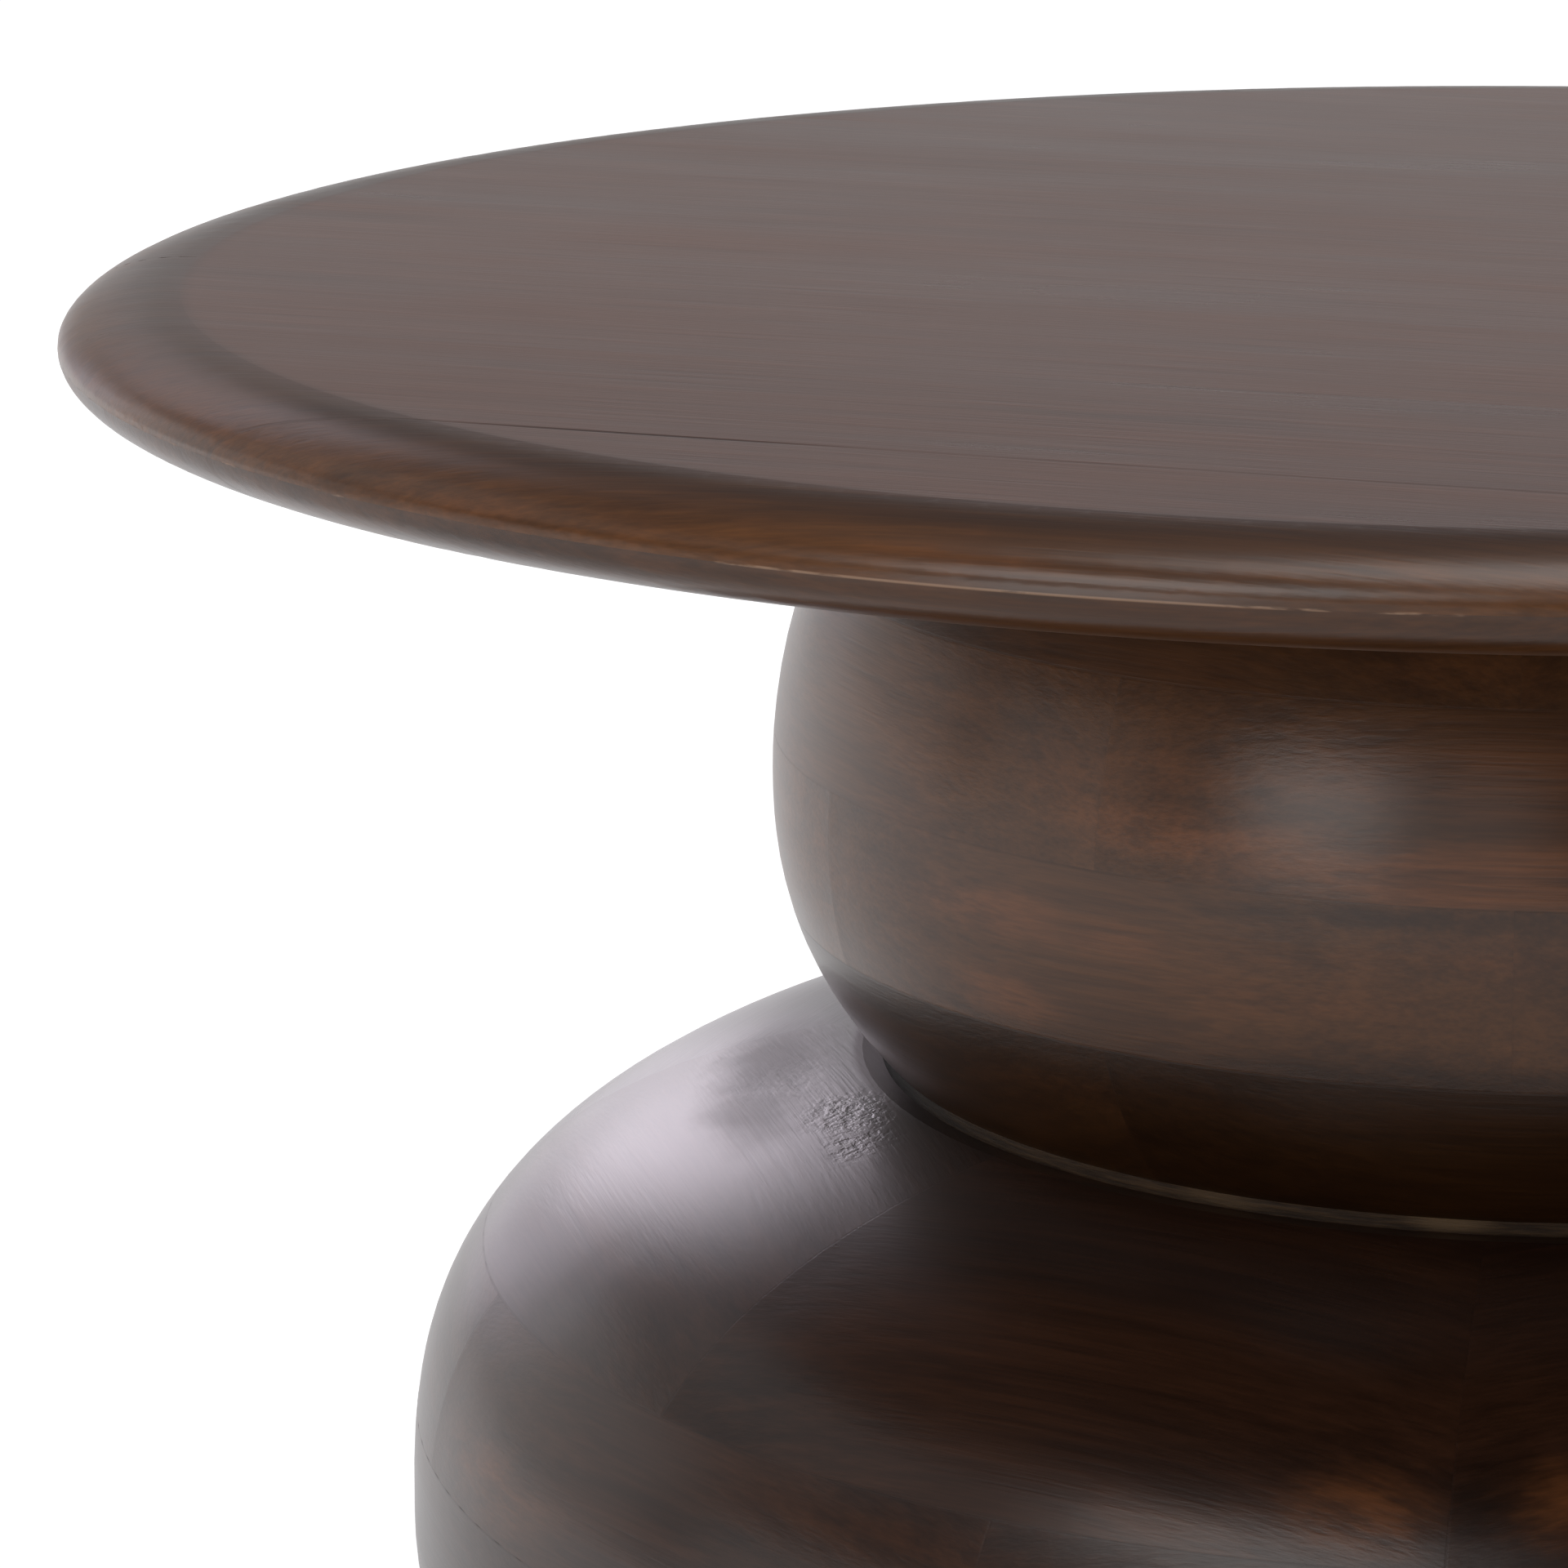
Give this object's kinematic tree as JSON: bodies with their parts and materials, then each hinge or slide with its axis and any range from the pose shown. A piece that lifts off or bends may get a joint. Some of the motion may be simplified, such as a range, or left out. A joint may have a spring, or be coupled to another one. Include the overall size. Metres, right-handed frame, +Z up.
{
  "type": "round pedestal coffee table",
  "caption": "Round laminated wood coffee table on a pedestal of two stacked, turned drums, with screw-in levelling feet.",
  "frame": {"origin": "on the floor, under the centre of the round top", "axes": "+Z up along the axis that the drums are turned about; the boards of the top run 15 degrees clockwise of +X, seen from above"},
  "size_m": [0.762, 0.762, 0.4572],
  "materials": {
    "top_wood": "dark stain, satin lacquer",
    "under_wood": "dark stain, satin lacquer",
    "upper_drum_wood": "dark stain, satin lacquer",
    "lower_drum_wood": "dark stain, satin lacquer",
    "spacer_wood": "stained, unpolished edge",
    "plywood": "bare plywood",
    "zinc_steel": "zinc plated",
    "insert_brass": "plain brass",
    "pad_nylon": "moulded nylon, fine grain"
  },
  "bodies": {
    "table": {"base_board": "lower_drum_wood", "base_screws": "zinc_steel", "floor_disc_screws": "zinc_steel", "joining_bolts": "zinc_steel", "joining_inserts": "insert_brass", "joining_washers": "zinc_steel", "leveller_inserts": "insert_brass", "lower_drum_ring_1": "lower_drum_wood", "lower_drum_ring_2": "lower_drum_wood", "lower_drum_ring_3": "lower_drum_wood", "lower_drum_ring_4": "lower_drum_wood", "lower_drum_ring_5": "lower_drum_wood", "lower_head_disc": "plywood", "spacer_disc": "spacer_wood", "top_board_1": "top_wood", "top_board_2": "top_wood", "top_board_3": "top_wood", "top_board_4": "top_wood", "top_board_5": "top_wood", "top_board_6": "top_wood", "top_board_7": "top_wood", "top_board_8": "top_wood", "top_screws": "zinc_steel", "under_board_1": "under_wood", "under_board_2": "under_wood", "under_board_3": "under_wood", "under_board_4": "under_wood", "under_board_5": "under_wood", "under_board_6": "under_wood", "under_board_7": "under_wood", "upper_drum_ring_1": "upper_drum_wood", "upper_drum_ring_2": "upper_drum_wood", "upper_drum_ring_3": "upper_drum_wood", "upper_drum_ring_4": "upper_drum_wood", "upper_floor_disc": "plywood", "upper_head_disc": "plywood"},
    "leveller_pad_1": {"leveller_pad_1": "pad_nylon"},
    "leveller_stem_1": {"leveller_stem_1": "zinc_steel"},
    "leveller_pad_2": {"leveller_pad_2": "pad_nylon"},
    "leveller_stem_2": {"leveller_stem_2": "zinc_steel"},
    "leveller_pad_3": {"leveller_pad_3": "pad_nylon"},
    "leveller_stem_3": {"leveller_stem_3": "zinc_steel"},
    "leveller_pad_4": {"leveller_pad_4": "pad_nylon"},
    "leveller_stem_4": {"leveller_stem_4": "zinc_steel"}
  },
  "joints": [
    {"name": "leveller_1_travel", "type": "slide", "parent": "table", "child": "leveller_pad_1", "axis": [0, 0, -1], "range_m": [0, 0.01]},
    {"name": "leveller_1_turn", "type": "hinge", "parent": "leveller_pad_1", "child": "leveller_stem_1", "pos_m": [0.11314, 0.11314, 0.006], "axis": [0, 0, -1], "range_deg": [0, 2880]},
    {"name": "leveller_2_travel", "type": "slide", "parent": "table", "child": "leveller_pad_2", "axis": [0, 0, -1], "range_m": [0, 0.01]},
    {"name": "leveller_2_turn", "type": "hinge", "parent": "leveller_pad_2", "child": "leveller_stem_2", "pos_m": [-0.11314, 0.11314, 0.006], "axis": [0, 0, -1], "range_deg": [0, 2880]},
    {"name": "leveller_3_travel", "type": "slide", "parent": "table", "child": "leveller_pad_3", "axis": [0, 0, -1], "range_m": [0, 0.01]},
    {"name": "leveller_3_turn", "type": "hinge", "parent": "leveller_pad_3", "child": "leveller_stem_3", "pos_m": [-0.11314, -0.11314, 0.006], "axis": [0, 0, -1], "range_deg": [0, 2880]},
    {"name": "leveller_4_travel", "type": "slide", "parent": "table", "child": "leveller_pad_4", "axis": [0, 0, -1], "range_m": [0, 0.01]},
    {"name": "leveller_4_turn", "type": "hinge", "parent": "leveller_pad_4", "child": "leveller_stem_4", "pos_m": [0.11314, -0.11314, 0.006], "axis": [0, 0, -1], "range_deg": [0, 2880]}
  ],
  "couplings": [
    {"joint": "leveller_1_turn", "follows": "leveller_1_travel", "rad_per_m": 5026.5},
    {"joint": "leveller_2_turn", "follows": "leveller_2_travel", "rad_per_m": 5026.5},
    {"joint": "leveller_3_turn", "follows": "leveller_3_travel", "rad_per_m": 5026.5},
    {"joint": "leveller_4_turn", "follows": "leveller_4_travel", "rad_per_m": 5026.5}
  ]
}
